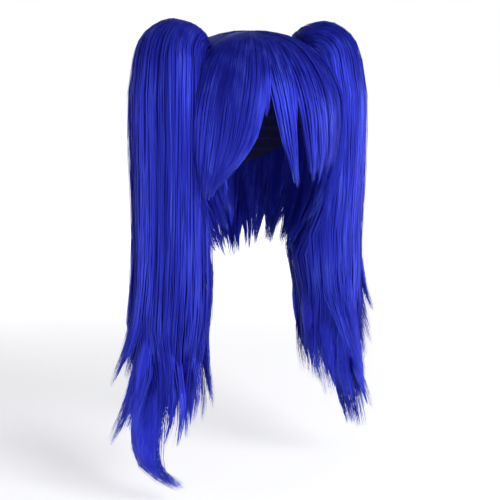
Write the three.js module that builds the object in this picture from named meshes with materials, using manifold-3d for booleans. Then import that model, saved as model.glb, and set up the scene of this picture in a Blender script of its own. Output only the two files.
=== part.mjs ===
// A costume wig of straight synthetic fibre with two long high pigtails.
// The origin is where the top of the wearer's head meets the inside of the cap.
// +Z is up, the face looks along -Y and +X is the wearer's left. Lengths are in millimetres.
import * as THREE from "three";
import Module from "manifold-3d";

const wasm = await Module();
wasm.setup();

// The head that the cap fits, measured from the middle of its widest level
const headHalfWidth = 76;
const headFront = 92;
const headBack = 98;
const headDome = 100;
const planPower = 2.2;
const domePower = 2.35;

// Below the widest level the form draws in towards the chin, the ears and the nape
const skirtDrop = 170;
const chinTaper = 0.28;
const earTaper = 0.6;
const napeTaper = 0.45;

// The cap, the clearance that every piece keeps to its neighbour, and that of a pigtail over fringe and clip
const capWall = 1.6;
const seatGap = 0.5;
const coverGap = 1.2;

// How far the crown hair stands off the head at its top, sides, front and back
const crownTopDepth = 12;
const crownSideDepth = 25;
const crownFrontDepth = 6;
const crownBackDepth = 20;
const crownRidge = 2;

// Depth of the hair over it
const fringeDepth = 8.5;
const sideHairDepth = 0.96; // as a share of the room between the cap and the crown hair's outside
const lowerRootShare = 0.94; // where the hair below the crown hair starts, as a share of the fall to its edge
const lockSink = 2;
const lockRound = 0.62; // how much thinner a lock is at its edges

// The clip that holds each pigtail on the crown
const clipDepth = 8;
const clipSpread = 15;
const clipTopDrop = 4;
const clipHeight = 24;
const clipEdge = 0.7; // how thick its ends are, as a share of its middle

// Each pigtail, measured from the head's middle plane
const tailOut = 100;
const tailBack = -1;
const tailRise = 25;
const tailLength = 480;
const tailHalfWidth = 42;
const tailHalfDepth = 52;
const tailRidge = 1.6;
const tailPower = 2.25;

// Facets
const formColumns = 40;
const capRows = 8;
const crownRows = 8;
const seatRows = 20;
const lockRows = 6;
const lockColumns = 2;
const tailSides = 18;
const tailLockSides = 6;
const tailLockRows = 7;

// How far down each layer reaches below the origin
const capDrop = 160;
const crownDrop = 118;
const fringeDrop = 178;
const sideDrop = 210;
const napeDrop = 262;

// Lower edges, as the turn from the front in degrees and the drop as a share of the layer's reach
const capHem = [
  { turn: 0, drop: 0.325 },
  { turn: 50, drop: 0.388 },
  { turn: 72, drop: 0.675 },
  { turn: 95, drop: 0.6 },
  { turn: 130, drop: 0.8 },
  { turn: 180, drop: 1 },
];
const crownHem = [
  { turn: 0, drop: 0.398 },
  { turn: 50, drop: 0.475 },
  { turn: 72, drop: 0.712 },
  { turn: 95, drop: 0.763 },
  { turn: 130, drop: 0.881 },
  { turn: 180, drop: 1 },
];

// Locks that lie over the front of the crown hair. Turns are in degrees, with + towards the wearer's left:
// where the lock starts beside the whorl and where its tip hangs. The drop is a share of the fringe's reach
// and the depth of its depth, and a high swing keeps the turn for the lock's last stretch.
const fringeLocks = [
  { root: -55, tip: -63, spread: 7, drop: 0.955, depth: 0.75, swing: 3 },
  { root: -50, tip: -61, spread: 8, drop: 0.994, depth: 0.95, swing: 3 },
  { root: -42, tip: -57, spread: 9, drop: 1, depth: 0.8, swing: 3.4 },
  { root: -35, tip: -54, spread: 9, drop: 0.972, depth: 1.0, swing: 3.8 },
  { root: -27, tip: -50, spread: 8, drop: 0.927, depth: 0.85, swing: 4.1 },
  { root: -20.5, tip: -47, spread: 6.5, drop: 0.888, depth: 0.95, swing: 4.3 },
  { root: -16, tip: -38, spread: 3.5, drop: 0.803, depth: 0.75, swing: 4.5 },
  { root: -13, tip: -15, spread: 4, drop: 0.449, depth: 0.7, swing: 2 },
  { root: -8, tip: 8, spread: 6.5, drop: 0.888, depth: 0.9, swing: 2.4 },
  { root: 1, tip: 4, spread: 5, drop: 0.607, depth: 0.7, swing: 2 },
  { root: 9, tip: 21, spread: 6.5, drop: 0.865, depth: 0.95, swing: 2.6 },
  { root: 19, tip: 27, spread: 8, drop: 0.854, depth: 0.8, swing: 2.4 },
  { root: 29, tip: 34, spread: 9, drop: 0.82, depth: 1.0, swing: 2 },
  { root: 39, tip: 42, spread: 10, drop: 0.775, depth: 0.85, swing: 2 },
  { root: 48, tip: 50, spread: 8, drop: 0.736, depth: 0.95, swing: 2 },
];
const fringeRootFall = 0.16;

// Locks in front of each ear, down the cheek, on one side. The other side mirrors them.
const sideLocks = [
  { root: 57, tip: 42, spread: 8, drop: 0.905, depth: 0.8, swing: 1.6 },
  { root: 67, tip: 46, spread: 9, drop: 1, depth: 1.0, swing: 1.6 },
];

// Locks behind the ears and round the nape, on one side. The other side mirrors them.
const napeLocks = [
  { root: 90, tip: 80, spread: 13, drop: 0.931, depth: 1.0, swing: 1.5 },
  { root: 110, tip: 105, spread: 14, drop: 0.954, depth: 0.9, swing: 1.5 },
  { root: 130, tip: 131, spread: 14, drop: 0.927, depth: 1.0, swing: 1.5 },
  { root: 150, tip: 155, spread: 14, drop: 0.969, depth: 0.9, swing: 1.5 },
  { root: 170, tip: 173, spread: 14, drop: 1, depth: 1.0, swing: 1.5 },
];

// Sections down a pigtail: the fall as a share of its length, the middle as a share of its distance out,
// and the half width and half depth as shares of theirs
const tailTop = [
  { fall: 0, out: 0.95, wide: 0.08, deep: 0.08 },
  { fall: 0.008, out: 0.94, wide: 0.36, deep: 0.34 },
  { fall: 0.025, out: 0.925, wide: 0.7, deep: 0.58 },
  { fall: 0.047, out: 0.93, wide: 0.9, deep: 0.74 },
  { fall: 0.08, out: 0.95, wide: 0.98, deep: 0.88 },
  { fall: 0.125, out: 0.98, wide: 1.02, deep: 1.0 },
  { fall: 0.19, out: 1.0, wide: 1.02, deep: 1.08 },
  { fall: 0.29, out: 1.0, wide: 1.03, deep: 1.08 },
  { fall: 0.4, out: 1.0, wide: 1.03, deep: 1.02 },
];
const tailEnds = {
  pigtail_left: [
    { fall: 0.5, out: 0.98, wide: 1.06, deep: 0.96 },
    { fall: 0.59, out: 1.0, wide: 1.02, deep: 0.92 },
    { fall: 0.68, out: 1.05, wide: 0.92, deep: 0.86 },
    { fall: 0.77, out: 1.08, wide: 0.84, deep: 0.8 },
    { fall: 0.85, out: 1.13, wide: 0.68, deep: 0.64 },
    { fall: 0.92, out: 1.2, wide: 0.3, deep: 0.26 },
  ],
  pigtail_right: [
    { fall: 0.5, out: 1.0, wide: 1.03, deep: 0.96 },
    { fall: 0.6, out: 1.0, wide: 1.1, deep: 0.94 },
    { fall: 0.7, out: 1.03, wide: 1.18, deep: 0.94 },
    { fall: 0.79, out: 1.05, wide: 1.18, deep: 0.88 },
    { fall: 0.88, out: 1.08, wide: 0.9, deep: 0.7 },
    { fall: 0.95, out: 1.12, wide: 0.3, deep: 0.24 },
  ],
};

// Locks at a pigtail's end: where each lies across (+ away from the head) and in depth (+ to the back)
// as shares of the half width and half depth, the falls it leaves the bundle and ends at,
// how far its tip swings out and back, and its half width and half thickness as shares of the half width
const tailLocks = {
  pigtail_right: [
    { across: 0.95, deep: -0.3, from: 0.54, to: 0.82, out: 0.74, back: -0.1, wide: 0.26, thick: 0.16 },
    { across: 0.98, deep: 0.2, from: 0.6, to: 0.88, out: 0.72, back: 0.1, wide: 0.28, thick: 0.18 },
    { across: 0.95, deep: -0.45, from: 0.64, to: 0.95, out: 0.68, back: -0.1, wide: 0.32, thick: 0.2 },
    { across: 0.85, deep: 0.1, from: 0.68, to: 1.01, out: 0.86, back: 0, wide: 0.4, thick: 0.26 },
    { across: 0.5, deep: -0.55, from: 0.68, to: 1.01, out: 0.42, back: -0.05, wide: 0.42, thick: 0.26 },
    { across: 0.1, deep: -0.35, from: 0.68, to: 1.0, out: 0.2, back: 0, wide: 0.42, thick: 0.3 },
    { across: -0.35, deep: -0.5, from: 0.66, to: 0.99, out: 0.14, back: -0.05, wide: 0.4, thick: 0.26 },
    { across: -0.8, deep: -0.25, from: 0.62, to: 0.94, out: -0.24, back: 0, wide: 0.3, thick: 0.2 },
    { across: -0.6, deep: 0.4, from: 0.66, to: 0.96, out: 0.1, back: 0.1, wide: 0.4, thick: 0.28 },
    { across: 0.3, deep: 0.55, from: 0.66, to: 0.99, out: 0.2, back: 0.1, wide: 0.44, thick: 0.28 },
  ],
  pigtail_left: [
    { across: 0.9, deep: -0.35, from: 0.48, to: 0.75, out: 0.5, back: -0.1, wide: 0.26, thick: 0.16 },
    { across: 0.92, deep: 0.2, from: 0.54, to: 0.81, out: 0.46, back: 0.1, wide: 0.28, thick: 0.18 },
    { across: 0.7, deep: -0.15, from: 0.66, to: 0.98, out: 0.36, back: 0, wide: 0.38, thick: 0.26 },
    { across: 0.72, deep: -0.45, from: 0.7, to: 1.01, out: 0.6, back: -0.05, wide: 0.46, thick: 0.28 },
    { across: 0.6, deep: 0.1, from: 0.7, to: 1.02, out: 0.72, back: 0, wide: 0.46, thick: 0.3 },
    { across: 0.2, deep: -0.5, from: 0.66, to: 0.99, out: 0.6, back: 0, wide: 0.44, thick: 0.26 },
    { across: -0.25, deep: -0.45, from: 0.62, to: 0.95, out: 0.4, back: -0.05, wide: 0.42, thick: 0.26 },
    { across: -0.65, deep: -0.15, from: 0.58, to: 0.9, out: 0.24, back: 0, wide: 0.36, thick: 0.26 },
    { across: -0.6, deep: 0.5, from: 0.57, to: 0.91, out: 0.5, back: -0.1, wide: 0.38, thick: 0.3 },
    { across: 0.3, deep: 0.55, from: 0.64, to: 0.96, out: 0.4, back: 0.1, wide: 0.4, thick: 0.3 },
  ],
};
const tailSwing = 2.2;
const lockInset = 0.2; // how much nearer the bundle's middle a lock starts
const leastFacing = 0.35; // how far the flat of the side locks still turns to the front or back

// The long outermost lock of the wearer's right pigtail, which curls back under: middles as the shares above
const curlLock = {
  path: [
    { across: 0.35, deep: -0.25, fall: 0.68 },
    { across: 0.62, deep: -0.3, fall: 0.82 },
    { across: 0.92, deep: -0.35, fall: 0.93 },
    { across: 1.02, deep: -0.35, fall: 1.01 },
    { across: 0.76, deep: -0.35, fall: 1.075 },
    { across: 0.0, deep: -0.3, fall: 1.135 },
  ],
  wide: 0.46,
  thick: 0.3,
};

// Colours of the fibre, the cap's net and the hidden clips
const fibre = new THREE.MeshStandardMaterial({ color: 0x1c21b4, roughness: 0.38, metalness: 0 });
const net = new THREE.MeshStandardMaterial({ color: 0x14143c, roughness: 0.85, metalness: 0 });
const clipPlastic = new THREE.MeshStandardMaterial({ color: 0x16164a, roughness: 0.4, metalness: 0 });

const degrees = Math.PI / 180;
const mix = (a, b, t) => a + (b - a) * t;
const clamp = (v) => Math.min(1, Math.max(0, v));

// The value of a column of a table at a key, eased between its rows
function along(table, key, column, at) {
  const last = table.length - 1;
  if (at <= table[0][key]) return table[0][column];
  if (at >= table[last][key]) return table[last][column];
  const i = table.findIndex((row) => row[key] > at);
  const [a, b] = [table[i - 1], table[i]];
  const slope = (j) => {
    const [p, q] = [table[Math.max(0, j - 1)], table[Math.min(last, j + 1)]];
    return (q[column] - p[column]) / (q[key] - p[key]);
  };
  const span = b[key] - a[key];
  const t = (at - a[key]) / span;
  const rest = (1 - t) * (1 - t);
  return (
    (1 + 2 * t) * rest * a[column] +
    t * rest * span * slope(i - 1) +
    t * t * (3 - 2 * t) * b[column] -
    t * t * (1 - t) * span * slope(i)
  );
}

// Forms: how far a skin stands off the head at its top, sides, front and back
const form = (top, side, front, back, ridge = 0) => ({ top, side, front, back, ridge });
const even = (lift) => form(lift, lift, lift, lift);
const headForm = even(0);
const capForm = even(capWall);
const onCap = even(capWall + seatGap);
const crownForm = form(crownTopDepth, crownSideDepth, crownFrontDepth, crownBackDepth, crownRidge);
const grown = (f, lift) => form(f.top + lift, f.side + lift, f.front + lift, f.back + lift, f.ridge);
const onCrown = grown(crownForm, seatGap);

// The share of the dome's quarter turn, or past 1 of the skirt, at a drop below the origin
function fallAt(skin, drop) {
  if (drop >= headDome) return 1 + (drop - headDome) / skirtDrop;
  const share = clamp((headDome - drop) / (headDome + skin.top));
  return Math.acos(share ** (domePower / 2)) / (90 * degrees);
}

// A point of a skin. The turn goes from the front towards the wearer's left.
function skinPoint(skin, turn, fall) {
  const [s, c] = [Math.sin(turn * degrees), Math.cos(turn * degrees)];
  const halfLength = c > 0 ? headFront + skin.front : headBack + skin.back;
  const sideShare = Math.abs(s) / (headHalfWidth + skin.side);
  const lengthShare = Math.abs(c) / halfLength;
  const reach = (sideShare ** planPower + lengthShare ** planPower) ** (-1 / planPower);
  const quarter = Math.min(1, fall) * 90 * degrees;
  const below = Math.max(0, fall - 1);
  const taper = earTaper * s * s + (c > 0 ? chinTaper : napeTaper) * c * c;
  const wave = (1 + Math.cos(((turn * formColumns) / 2) * degrees)) / 2;
  const relief = skin.ridge * wave * Math.sin(quarter);
  const radius = (reach * Math.sin(quarter) ** (2 / domePower) + relief) * (1 - taper * below * below);
  const height = (headDome + skin.top) * Math.cos(quarter) ** (2 / domePower) - headDome;
  return new THREE.Vector3(radius * s, -radius * c, height - below * skirtDrop);
}

const between = (a, b, share) => form(
  mix(a.top, b.top, share),
  mix(a.side, b.side, share),
  mix(a.front, b.front, share),
  mix(a.back, b.back, share),
);

// A manifold solid from points and triangles, turned to face outwards
function solid(points, triangles) {
  const vertProperties = new Float32Array(points.flatMap((p) => [p.x, p.y, p.z]));
  let volume = 0;
  for (const [a, b, c] of triangles) {
    volume += points[a].dot(new THREE.Vector3().crossVectors(points[b], points[c]));
  }
  const turned = volume < 0 ? triangles.map(([a, b, c]) => [a, c, b]) : triangles;
  const triVerts = new Uint32Array(turned.flat());
  return new wasm.Manifold(new wasm.Mesh({ numProp: 3, vertProperties, triVerts }));
}

// A closed solid through rings of equally many points
function loft(rings) {
  const count = rings[0].length;
  const points = rings.flat();
  const triangles = [];
  for (let i = 0; i + 1 < rings.length; i++) {
    for (let j = 0; j < count; j++) {
      const k = (j + 1) % count;
      const [a, b, c, d] = [i * count + j, i * count + k, (i + 1) * count + j, (i + 1) * count + k];
      triangles.push([a, b, d], [a, d, c]);
    }
  }
  const lastStart = (rings.length - 1) * count;
  for (const [ring, start, flip] of [[rings[0], 0, true], [rings.at(-1), lastStart, false]]) {
    const middle = ring.reduce((sum, p) => sum.add(p), new THREE.Vector3()).divideScalar(count);
    points.push(middle);
    for (let j = 0; j < count; j++) {
      const [a, b] = [start + j, start + ((j + 1) % count)];
      triangles.push(flip ? [b, a, points.length - 1] : [a, b, points.length - 1]);
    }
  }
  return solid(points, triangles);
}

// The solid under a skin down to a hem, or the wall between two skins where an inner one is given
function dome(outer, hem, rows, inner = null) {
  const points = [skinPoint(outer, 0, 0)];
  points.push(inner ? skinPoint(inner, 0, 0) : new THREE.Vector3(0, 0, -hem(180)));
  const triangles = [];
  const perColumn = inner ? 2 * rows : rows;
  for (let i = 0; i < formColumns; i++) {
    const turn = (i * 360) / formColumns;
    const drop = hem(turn > 180 ? 360 - turn : turn);
    for (let j = 1; j <= rows; j++) points.push(skinPoint(outer, turn, (fallAt(outer, drop) * j) / rows));
    for (let j = rows; inner && j >= 1; j--) {
      points.push(skinPoint(inner, turn, (fallAt(inner, drop) * j) / rows));
    }
  }
  for (let i = 0; i < formColumns; i++) {
    const [a, b] = [2 + i * perColumn, 2 + ((i + 1) % formColumns) * perColumn];
    triangles.push([0, a, b], [1, b + perColumn - 1, a + perColumn - 1]);
    for (let j = 0; j + 1 < perColumn; j++) {
      triangles.push([a + j, a + j + 1, b + j + 1], [a + j, b + j + 1, b + j]);
    }
  }
  return solid(points, triangles);
}

const capEdge = (turn) => capDrop * along(capHem, "turn", "drop", turn);
const crownEdge = (turn) => crownDrop * along(crownHem, "turn", "drop", turn);
const lowest = () => headDome + skirtDrop;

// How wide and how deep a lock is along its length, as shares of its most
const lockWidth = [
  { t: 0, share: 0.95 },
  { t: 0.45, share: 1 },
  { t: 0.75, share: 0.72 },
  { t: 1, share: 0.06 },
];
const tailLockWidth = [
  { t: 0, share: 0.35 },
  { t: 0.4, share: 1 },
  { t: 0.75, share: 0.76 },
  { t: 1, share: 0.05 },
];
const fringeBuild = [
  { t: 0, share: 0.16 },
  { t: 0.35, share: 0.55 },
  { t: 0.7, share: 1 },
  { t: 1, share: 0.16 },
];
const lowerBuild = [
  { t: 0, share: 1 },
  { t: 0.4, share: 0.86 },
  { t: 0.75, share: 0.6 },
  { t: 1, share: 0.18 },
];

// A lock that lies on a skin from its root to its tip. skinAt gives the skin at a share of the lock's depth,
// and a clearance widens and lengthens it.
function lockOnSkin(lock, rootFall, tipFall, build, skinAt, underSkin, clearance = 0) {
  const ring = (t, extraFall) => {
    const fall = mix(rootFall, tipFall, t) + extraFall;
    const middle = mix(lock.root, lock.tip, t ** lock.swing);
    const half = lock.spread * along(lockWidth, "t", "share", t) + clearance / (headHalfWidth * degrees);
    const depth = lock.depth * along(build, "t", "share", t);
    const across = Array.from({ length: lockColumns + 1 }, (_, j) => (2 * j) / lockColumns - 1);
    return [
      ...across.map((c) => skinPoint(skinAt(depth * (1 - lockRound * c * c)), middle + c * half, fall)),
      ...across.reverse().map((c) => skinPoint(underSkin, middle + c * half, fall)),
    ];
  };
  const rings = Array.from({ length: lockRows + 1 }, (_, i) => ring(i / lockRows, 0));
  if (clearance) rings.push(ring(1, clearance / skirtDrop));
  return loft(rings);
}

const joined = (solids) => wasm.Manifold.union(solids);

// The largest body of a cut solid at 32 bits, without slivers that a cut leaves where two faces nearly meet
function largest(made) {
  const bodies = new wasm.Manifold(made.getMesh()).decompose();
  return bodies.reduce((a, b) => (a.volume() > b.volume() ? a : b));
}

// The fringe hangs from beside the whorl, over the crown hair. A clearance grows its locks into the seat that
// the pigtails leave for them.
function fringe(clearance) {
  const skinAt = (share) => grown(onCrown, fringeDepth * share + clearance);
  const under = grown(onCrown, -lockSink);
  const solids = fringeLocks.map((lock) => {
    const tipFall = fallAt(onCrown, fringeDrop * lock.drop);
    return lockOnSkin(lock, fringeRootFall, tipFall, fringeBuild, skinAt, under, clearance);
  });
  return joined(solids);
}

// Hair that starts at the crown hair's edge, lies on the cap and hangs on below it, down to a reach
function lowerHair(locks, reach) {
  const skinAt = (share) => between(onCap, crownForm, share * sideHairDepth);
  const under = grown(onCap, -lockSink);
  const solids = locks.map((lock) => {
    const rootFall = fallAt(crownForm, crownEdge(Math.abs(lock.root))) * lowerRootShare;
    return lockOnSkin(lock, rootFall, fallAt(crownForm, reach * lock.drop), lowerBuild, skinAt, under);
  });
  const cut = joined(solids).subtract(dome(onCap, lowest, seatRows));
  return cut.subtract(dome(onCrown, (turn) => crownEdge(turn) + seatGap, crownRows));
}

const mirrored = (lock) => ({ ...lock, root: -lock.root, tip: -lock.tip });

// The clip's plate on the crown hair, grown by a clearance for the seat that the pigtail has for it
function clip(side, clearance) {
  const skinAt = (share) => grown(onCrown, share * (clipDepth + clearance));
  const under = clearance ? grown(onCrown, -lockSink) : onCrown;
  const [top, bottom] = [clipTopDrop - clearance, clipTopDrop + clipHeight + clearance];
  const rings = [top, mix(top, bottom, 1 / 3), mix(top, bottom, 2 / 3), bottom].map((drop) => {
    const fall = fallAt(onCrown, drop);
    const half = clipSpread + clearance;
    const turns = [-1, -0.5, 0, 0.5, 1].map((c) => side * (90 + c * half));
    return [
      ...turns.map((turn, j) => skinPoint(skinAt(j % 4 ? 1 : clipEdge), turn, fall)),
      ...turns.reverse().map((turn) => skinPoint(under, turn, fall)),
    ];
  });
  return loft(rings);
}

// A point in a pigtail from its shares across, in depth and of its fall
function tailPoint(side, across, deep, fall) {
  const out = tailOut * along(tailTop, "fall", "out", fall) + across * tailHalfWidth;
  return new THREE.Vector3(side * out, tailBack + deep * tailHalfDepth, tailRise - fall * tailLength);
}

// The bundle of a pigtail, folded over at its top and drawn in at its end, with shallow grooves down it
function tailBundle(side, sections) {
  const rings = sections.map((section) => {
    const middle = tailPoint(side, 0, 0, section.fall).setX(side * tailOut * section.out);
    const ring = [];
    for (let j = 0; j < tailSides; j++) {
      const angle = (j * 360 * degrees) / tailSides;
      const [c, s] = [Math.cos(angle), Math.sin(angle)];
      const reach = (Math.abs(c) ** tailPower + Math.abs(s) ** tailPower) ** (-1 / tailPower);
      const groove = (j % 2) * tailRidge * section.wide;
      const wide = tailHalfWidth * section.wide * reach - groove;
      const deep = tailHalfDepth * section.deep * reach - groove;
      ring.push(new THREE.Vector3(middle.x + side * wide * c, middle.y + deep * s, middle.z));
    }
    return ring;
  });
  return loft(rings);
}

// A tapered lock along a curve, flat towards the face of the bundle that it lies on, the outside or the front
function hangingLock(points, halfWidth, halfThick, deep, side) {
  const curve = new THREE.CatmullRomCurve3(points, false, "centripetal");
  const frontwards = Math.sign(deep || -1) * (leastFacing + Math.abs(deep));
  const facing = new THREE.Vector3(side * (1 - Math.abs(deep)), frontwards, 0);
  const rings = [];
  for (let i = 0; i <= tailLockRows; i++) {
    const t = i / tailLockRows;
    const [middle, tangent] = [curve.getPoint(t), curve.getTangent(t)];
    const wide = new THREE.Vector3().crossVectors(tangent, facing).normalize();
    const thick = new THREE.Vector3().crossVectors(wide, tangent).normalize();
    const share = along(tailLockWidth, "t", "share", t);
    rings.push(Array.from({ length: tailLockSides }, (_, j) => {
      const angle = ((j + 0.5) * 360 * degrees) / tailLockSides;
      return middle.clone()
        .addScaledVector(wide, halfWidth * share * Math.cos(angle))
        .addScaledVector(thick, halfThick * share * Math.sin(angle));
    }));
  }
  return loft(rings);
}

function tailLock(lock, side) {
  const points = Array.from({ length: tailLockRows }, (_, i) => {
    const t = i / (tailLockRows - 1);
    const swung = t ** tailSwing;
    const spread = 1 - lockInset * (1 - t) ** 2;
    const [across, deep] = [lock.across * spread + lock.out * swung, lock.deep * spread + lock.back * swung];
    return tailPoint(side, across, deep, mix(lock.from, lock.to, t));
  });
  return hangingLock(points, lock.wide * tailHalfWidth, lock.thick * tailHalfWidth, lock.deep, side);
}

function curl(side) {
  const points = curlLock.path.map((row) => tailPoint(side, row.across, row.deep, row.fall));
  return hangingLock(points, curlLock.wide * tailHalfWidth, curlLock.thick * tailHalfWidth, -1, side);
}

// A pigtail: its bundle and locks in one, hollowed where it lies on the crown hair and over its clip
function pigtail(name, side, extra = []) {
  const bundle = tailBundle(side, [...tailTop, ...tailEnds[name]]);
  const hair = joined([bundle, ...tailLocks[name].map((lock) => tailLock(lock, side)), ...extra]);
  const cut = hair.subtract(dome(onCrown, lowest, seatRows)).subtract(clip(side, coverGap));
  return cut.subtract(fringe(coverGap));
}

const wig = new THREE.Group();

// Adds a solid to the wig as a named mesh
function add(name, made, material) {
  const { vertProperties, triVerts, numProp } = largest(made).getMesh();
  const geometry = new THREE.BufferGeometry();
  const positions = new Float32Array((vertProperties.length / numProp) * 3);
  for (let i = 0; i < positions.length / 3; i++) {
    positions.set(vertProperties.subarray(i * numProp, i * numProp + 3), i * 3);
  }
  geometry.setAttribute("position", new THREE.BufferAttribute(positions, 3));
  geometry.setIndex(new THREE.BufferAttribute(new Uint32Array(triVerts), 1));
  geometry.computeVertexNormals();
  const mesh = new THREE.Mesh(geometry, material);
  mesh.name = name;
  wig.add(mesh);
}

add("wig_cap", dome(capForm, capEdge, capRows, headForm), net);
const capSeat = dome(onCap, capEdge, capRows);
add("crown_hair", dome(crownForm, crownEdge, crownRows).subtract(capSeat), fibre);
add("fringe", fringe(0).subtract(dome(onCrown, lowest, seatRows)), fibre);
add("side_lock_left", lowerHair(sideLocks, sideDrop), fibre);
add("side_lock_right", lowerHair(sideLocks.map(mirrored), sideDrop), fibre);
add("nape_hair", lowerHair([...napeLocks, ...napeLocks.map(mirrored)], napeDrop), fibre);
add("clip_left", clip(1, 0), clipPlastic);
add("clip_right", clip(-1, 0), clipPlastic);
add("pigtail_left", pigtail("pigtail_left", 1), fibre);
add("pigtail_right", pigtail("pigtail_right", -1, [curl(-1)]), fibre);

export default wig;
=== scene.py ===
# %% [markdown]
# # A wig with two high pigtails
# This scene dresses the packed solids of a costume wig in strands of synthetic fibre. The solids give the
# outer form of every lock. Here each one is filled again with a dense core and a coat of thin strands that
# follow the same paths, so the silhouette stays while the surface becomes hair. The net cap and the two
# clips keep their solids and only get a finish.

# %% Load the packed frame
from types import SimpleNamespace

import bpy
import numpy as np
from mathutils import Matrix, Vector


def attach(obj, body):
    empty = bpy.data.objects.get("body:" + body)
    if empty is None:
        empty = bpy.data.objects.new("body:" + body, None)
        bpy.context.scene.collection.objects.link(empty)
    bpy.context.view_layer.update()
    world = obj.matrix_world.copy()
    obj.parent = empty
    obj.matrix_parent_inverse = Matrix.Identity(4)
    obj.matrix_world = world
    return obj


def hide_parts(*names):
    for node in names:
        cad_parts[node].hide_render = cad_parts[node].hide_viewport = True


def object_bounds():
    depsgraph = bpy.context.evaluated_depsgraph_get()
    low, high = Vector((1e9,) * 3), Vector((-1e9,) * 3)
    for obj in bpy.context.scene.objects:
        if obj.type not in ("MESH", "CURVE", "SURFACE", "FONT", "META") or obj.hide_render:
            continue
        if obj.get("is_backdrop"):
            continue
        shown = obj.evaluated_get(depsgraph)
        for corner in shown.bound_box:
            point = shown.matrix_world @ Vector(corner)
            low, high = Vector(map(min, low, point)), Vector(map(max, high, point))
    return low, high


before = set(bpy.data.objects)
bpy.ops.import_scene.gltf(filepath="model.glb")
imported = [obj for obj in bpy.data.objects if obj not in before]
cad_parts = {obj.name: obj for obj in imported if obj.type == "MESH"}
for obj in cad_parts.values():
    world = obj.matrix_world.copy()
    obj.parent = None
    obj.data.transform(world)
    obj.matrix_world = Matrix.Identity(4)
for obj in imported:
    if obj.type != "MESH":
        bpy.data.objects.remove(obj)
cad_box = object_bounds()
scene = bpy.context.scene
print("CAD nodes:", ", ".join(sorted(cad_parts)))

# %% [markdown]
# ## Camera
# A wig is judged by its front, so the camera looks at it from its right front and slightly from above, with
# a long lens that keeps both pigtails in proportion. The camera is placed by two angles and a distance
# round a point in the middle of the wig, which is easier to adjust than a place and a rotation.

# %% Camera
aim = Vector((0, 0, -0.243))
camera_distance = 1.25
camera_azimuth = np.radians(-25)
camera_elevation = np.radians(10)
camera_lens = 75.6


def seen_from(azimuth, elevation):
    """The unit vector from the wig towards a viewer."""
    level = np.cos(elevation)
    return Vector((np.sin(azimuth) * level, -np.cos(azimuth) * level, np.sin(elevation)))


camera = bpy.data.objects.new("camera", bpy.data.cameras.new("camera"))
scene.collection.objects.link(camera)
camera.data.lens = camera_lens
camera.location = aim + camera_distance * seen_from(camera_azimuth, camera_elevation)
camera.rotation_euler = (aim - camera.location).to_track_quat("-Z", "Y").to_euler()
scene.camera = camera
print("camera at", [round(v, 3) for v in camera.location])

# %% [markdown]
# ## Light
# Glossy fibre shows its shape through long soft highlights and through the dark hollows between the locks.
# Area lights give both. A large soft box stands high in front, wide ones at the sides light the flanks of
# the pigtails, and a weak one behind lifts the back. A sun or a bare lamp would draw hard lines instead.

# %% Soft boxes
soft_boxes = [
    SimpleNamespace(name="key", azimuth=16, elevation=24, distance=1.8, size=0.9, watts=31),
    SimpleNamespace(name="left_fill", azimuth=-90, elevation=0, distance=1.9, size=1.1, watts=23),
    SimpleNamespace(name="right_fill", azimuth=68, elevation=0, distance=1.9, size=1.1, watts=27),
    SimpleNamespace(name="back", azimuth=178, elevation=22, distance=1.9, size=1.5, watts=9),
]
for box in soft_boxes:
    lamp = bpy.data.lights.new(box.name, "AREA")
    lamp.energy = box.watts
    lamp.size = box.size
    light = bpy.data.objects.new(box.name, lamp)
    scene.collection.objects.link(light)
    light.location = aim + box.distance * seen_from(np.radians(box.azimuth), np.radians(box.elevation))
    light.rotation_euler = (aim - light.location).to_track_quat("-Z", "Y").to_euler()
print(len(soft_boxes), "soft boxes")

# %% [markdown]
# ## Node building
# Both shaders and geometry trees are graphs of nodes. A small class wraps an output socket, so that sums
# are written as plain Python, and one method adds any other node from its type, settings and inputs.


# %% The bench that builds node trees
class Wire:
    """An output socket that can be used in sums. Each operator adds a Math or Vector Math node."""

    def __init__(self, bench, socket):
        self.bench = bench
        self.socket = socket

    def __getitem__(self, name):
        """Another output of the same node."""
        return Wire(self.bench, self.bench.find(self.socket.node.outputs, name))

    def join(self, operation, first, second):
        wires = [w for w in (first, second) if isinstance(w, Wire)]
        vector = any(w.socket.type in ("VECTOR", "RGBA") for w in wires)
        kind = "ShaderNodeVectorMath" if vector else "ShaderNodeMath"
        return self.bench.node(kind, {"operation": operation}, {0: first, 1: second})

    def __add__(self, other):
        return self.join("ADD", self, other)

    def __radd__(self, other):
        return self.join("ADD", other, self)

    def __sub__(self, other):
        return self.join("SUBTRACT", self, other)

    def __rsub__(self, other):
        return self.join("SUBTRACT", other, self)

    def __mul__(self, other):
        return self.join("MULTIPLY", self, other)

    def __rmul__(self, other):
        return self.join("MULTIPLY", other, self)

    def __truediv__(self, other):
        return self.join("DIVIDE", self, other)

    def __pow__(self, other):
        return self.join("POWER", self, other)


class Bench:
    """Adds nodes to one tree."""

    def __init__(self, tree):
        self.tree = tree

    def find(self, sockets, key):
        usable = [s for s in sockets if s.enabled]
        if isinstance(key, int):
            return usable[key]
        return next(s for s in usable if s.name == key)

    def node(self, kind, settings=None, inputs=None):
        """A node with its settings, then its inputs by name or place. Returns its first output."""
        made = self.tree.nodes.new(kind)
        for name, value in (settings or {}).items():
            setattr(made, name, value)
        for key, value in (inputs or {}).items():
            self.plug(self.find(made.inputs, key), value)
        outputs = [s for s in made.outputs if s.enabled]
        return Wire(self, outputs[0]) if outputs else made

    def plug(self, socket, value):
        """Links a wire to the socket, several wires to a socket that takes several, or sets its value."""
        for wire in value if isinstance(value, list) else [value]:
            if isinstance(wire, Wire):
                self.tree.links.new(wire.socket, socket)
            elif socket.type == "VECTOR" and isinstance(wire, (int, float)):
                socket.default_value = (wire,) * 3
            else:
                socket.default_value = wire


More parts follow.
